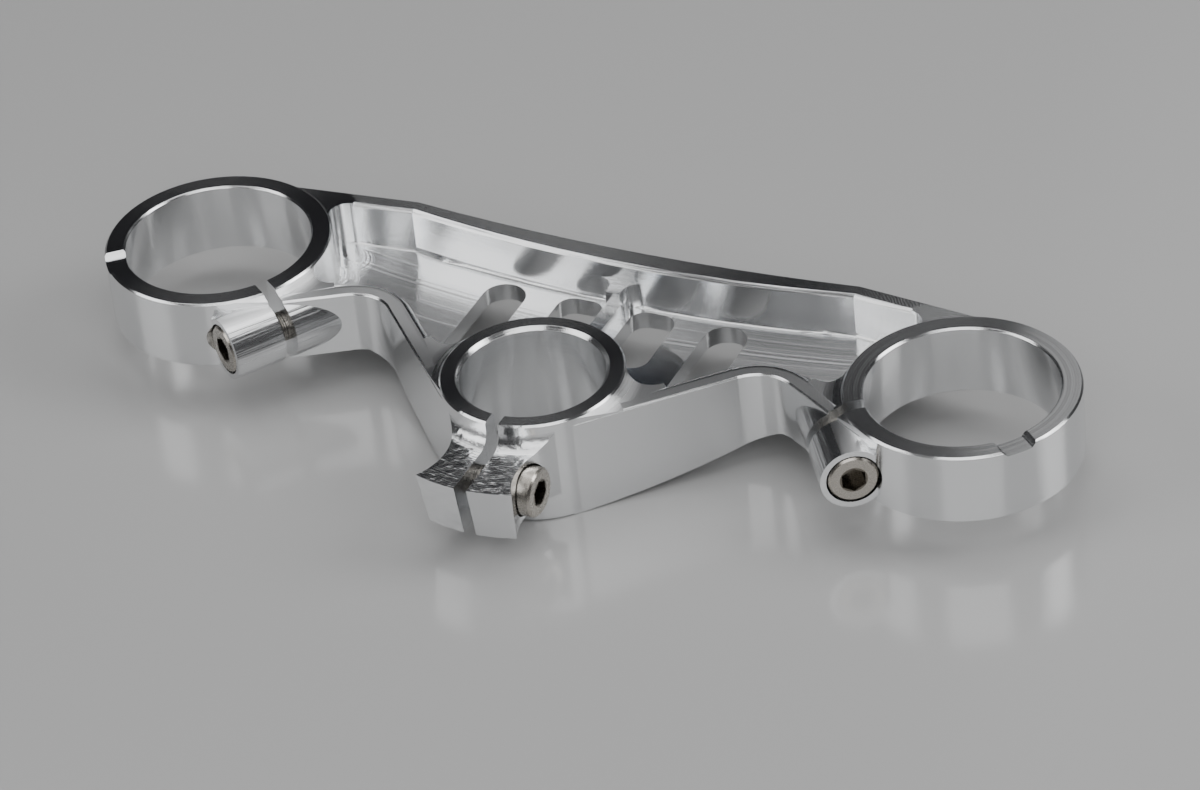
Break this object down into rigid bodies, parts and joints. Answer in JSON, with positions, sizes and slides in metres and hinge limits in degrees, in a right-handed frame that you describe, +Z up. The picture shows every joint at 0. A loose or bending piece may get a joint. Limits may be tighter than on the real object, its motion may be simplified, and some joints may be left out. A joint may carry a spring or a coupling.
{
  "type": "motorcycle triple clamp",
  "caption": "Machined yoke that clamps two fork tubes and the steering stem, with a pocketed web, a bowed back wall and socket-head pinch bolts.",
  "frame": {"origin": "midway between the two fork tube axes, on the plane of the clamp tops", "axes": "+X across the forks, +Y from the stem clamp towards the back wall, +Z up along the fork tubes"},
  "size_m": [0.275, 0.1065, 0.03],
  "materials": {
    "machined_aluminium": "bright machined, with fine tool marks",
    "bolt_steel": "satin stainless steel"
  },
  "bodies": {
    "root": {"clamp_body": "machined_aluminium", "left_pinch_bolt": "bolt_steel", "right_pinch_bolt": "bolt_steel", "stem_pinch_bolt": "bolt_steel"}
  },
  "joints": []
}
